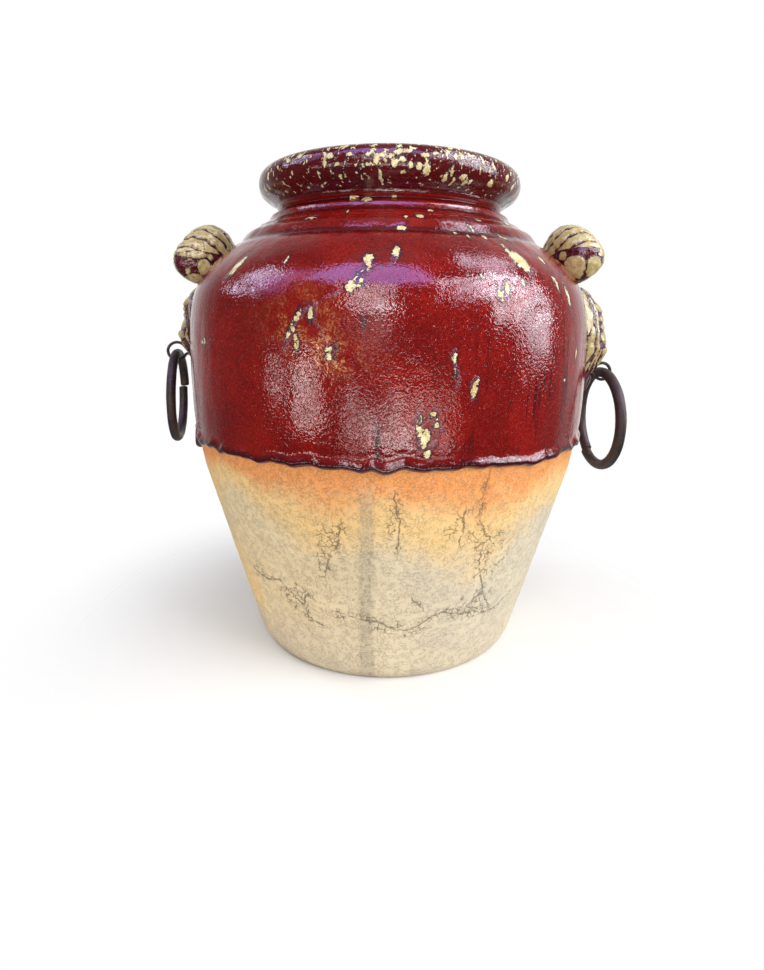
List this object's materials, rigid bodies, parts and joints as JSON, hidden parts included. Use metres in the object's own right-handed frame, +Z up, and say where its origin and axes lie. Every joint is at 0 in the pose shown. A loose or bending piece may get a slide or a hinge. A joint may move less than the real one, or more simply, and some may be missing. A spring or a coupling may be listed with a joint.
{
  "type": "terracotta urn",
  "caption": "Round-bellied clay urn with a rolled rim, a thick glaze coat over its upper half, and scroll and leaf handles with loose iron rings.",
  "frame": {"origin": "centre of the flat foot, on the ground", "axes": "+Z up through the mouth; +X through the right handle, -X through the left one; +Y to the back, so the pictured side faces -Y"},
  "size_m": [0.4173, 0.3458, 0.4048],
  "materials": {
    "bare_clay": "unglazed, sandy buff with an orange blush",
    "red_glaze": "thick glossy oxblood red with cream breaks",
    "cream_glaze": "glossy cream with dark maroon in the grooves",
    "dark_iron": "dark, pitted, hand-forged"
  },
  "bodies": {
    "urn": {"urn_body": "bare_clay", "glaze_coat": "red_glaze", "right_scroll": "cream_glaze", "right_leaf": "cream_glaze", "right_eye": "dark_iron", "left_scroll": "cream_glaze", "left_leaf": "cream_glaze", "left_eye": "dark_iron"},
    "right_ring": {"right_ring": "dark_iron"},
    "left_ring": {"left_ring": "dark_iron"}
  },
  "joints": [
    {"name": "right_ring_swing", "type": "hinge", "parent": "urn", "child": "right_ring", "pos_m": [0.19342, 0, 0.2326], "axis": [0.1495, -0.9888, 0], "range_deg": [-16, 194]},
    {"name": "left_ring_swing", "type": "hinge", "parent": "urn", "child": "left_ring", "pos_m": [-0.19871, 0, 0.2444], "axis": [-0.2419, 0.9703, 0], "range_deg": [-16, 182]}
  ]
}
